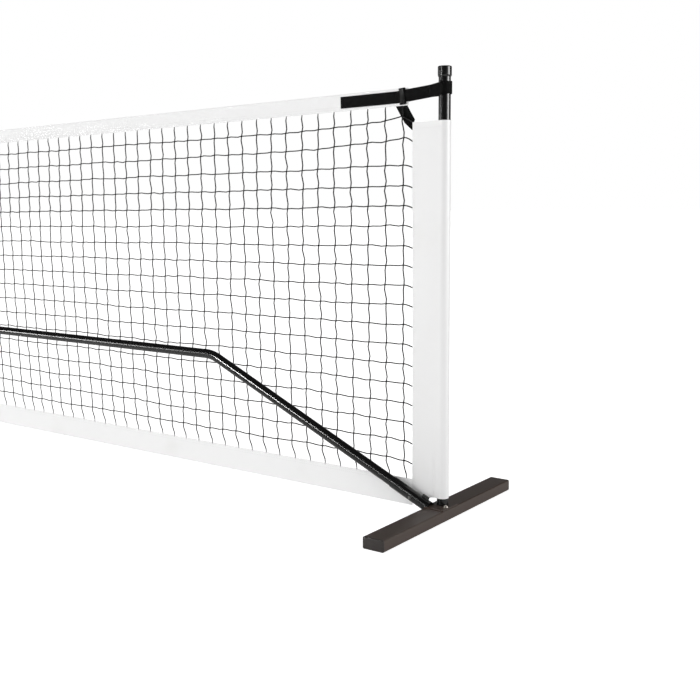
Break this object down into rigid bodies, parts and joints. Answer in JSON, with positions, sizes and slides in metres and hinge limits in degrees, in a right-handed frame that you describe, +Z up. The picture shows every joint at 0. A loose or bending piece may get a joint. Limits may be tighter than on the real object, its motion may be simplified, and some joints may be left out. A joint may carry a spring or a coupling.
{
  "type": "portable net",
  "caption": "Portable court net: mesh with white band and hem between strapped end posts, on feet joined by a low black tube frame with snap-button joints.",
  "frame": {"origin": "on the floor, midway between the two end posts and in the net's plane", "axes": "+X along the net to the right-hand post, +Y from the arms' side through the net, +Z up"},
  "size_m": [6.756, 0.528, 0.949],
  "materials": {
    "steel_black": "smooth glossy black powder coat",
    "foot_black": "satin dark brown-black coat",
    "foot_plastic": "satin moulding in the feet's colour",
    "plastic_black": "fine matte moulding",
    "webbing_black": "ribbed woven polyester webbing",
    "twine_black": "knotted black twine",
    "vinyl_white": "coated white cloth with sewn edges",
    "bright_steel": "bright zinc-plated steel"
  },
  "bodies": {
    "frame": {"net_mesh": "twine_black", "top_band": "vinyl_white", "bottom_hem": "vinyl_white", "right_sleeve": "vinyl_white", "right_strap": "webbing_black", "right_strap_tail": "webbing_black", "right_post_spigot": "steel_black", "right_foot_beam": "foot_black", "right_foot_caps": "foot_plastic", "right_base_plate": "foot_black", "right_base_bolts": "bright_steel", "right_arm_socket": "steel_black", "right_tie_lug": "steel_black", "right_button_spring": "bright_steel", "right_corner_tube": "steel_black", "right_arm_tube_1": "steel_black", "right_arm_tube_2": "steel_black", "right_arm_tube_3": "steel_black", "right_arm_tube_4": "steel_black", "left_sleeve": "vinyl_white", "left_strap": "webbing_black", "left_strap_tail": "webbing_black", "left_post_spigot": "steel_black", "left_foot_beam": "foot_black", "left_foot_caps": "foot_plastic", "left_base_plate": "foot_black", "left_base_bolts": "bright_steel", "left_arm_socket": "steel_black", "left_tie_lug": "steel_black", "left_button_spring": "bright_steel", "left_corner_tube": "steel_black", "left_arm_tube_1": "steel_black", "left_arm_tube_2": "steel_black", "left_arm_tube_3": "steel_black", "left_arm_tube_4": "steel_black", "centre_foot_beam": "foot_black", "centre_foot_caps": "foot_plastic", "centre_base_plate": "foot_black", "centre_base_bolts": "bright_steel", "centre_upright": "steel_black", "centre_hub": "steel_black", "right_hub_spring": "bright_steel", "left_hub_spring": "bright_steel", "centre_post": "steel_black", "centre_post_cap": "plastic_black", "centre_pocket": "vinyl_white"},
    "right_post": {"right_post": "steel_black", "right_post_cap": "plastic_black"},
    "right_buckle": {"right_buckle": "plastic_black"},
    "right_socket_button": {"right_socket_button": "bright_steel"},
    "right_hub_button": {"right_hub_button": "bright_steel"},
    "left_post": {"left_post": "steel_black", "left_post_cap": "plastic_black"},
    "left_buckle": {"left_buckle": "plastic_black"},
    "left_socket_button": {"left_socket_button": "bright_steel"},
    "left_hub_button": {"left_hub_button": "bright_steel"}
  },
  "joints": [
    {"name": "right_post_lift", "type": "slide", "parent": "frame", "child": "right_post", "axis": [0, 0, 1], "range_m": [0, 0.09]},
    {"name": "right_buckle_slide", "type": "slide", "parent": "frame", "child": "right_buckle", "axis": [0.9957, 0, 0.0924], "range_m": [0, 0.055]},
    {"name": "right_socket_button_press", "type": "slide", "parent": "frame", "child": "right_socket_button", "axis": [0, 1, 0], "range_m": [0, 0.0046], "stiffness_N_per_m": 1500, "springref_m": -0.001, "deforming": ["right_button_spring"]},
    {"name": "right_hub_button_press", "type": "slide", "parent": "frame", "child": "right_hub_button", "axis": [0, 1, 0], "range_m": [0, 0.0046], "stiffness_N_per_m": 1500, "springref_m": -0.001, "deforming": ["right_hub_spring"]},
    {"name": "left_post_lift", "type": "slide", "parent": "frame", "child": "left_post", "axis": [0, 0, 1], "range_m": [0, 0.09]},
    {"name": "left_buckle_slide", "type": "slide", "parent": "frame", "child": "left_buckle", "axis": [-0.9957, 0, 0.0924], "range_m": [0, 0.055]},
    {"name": "left_socket_button_press", "type": "slide", "parent": "frame", "child": "left_socket_button", "axis": [0, 1, 0], "range_m": [0, 0.0046], "stiffness_N_per_m": 1500, "springref_m": -0.001, "deforming": ["left_button_spring"]},
    {"name": "left_hub_button_press", "type": "slide", "parent": "frame", "child": "left_hub_button", "axis": [0, 1, 0], "range_m": [0, 0.0046], "stiffness_N_per_m": 1500, "springref_m": -0.001, "deforming": ["left_hub_spring"]}
  ]
}
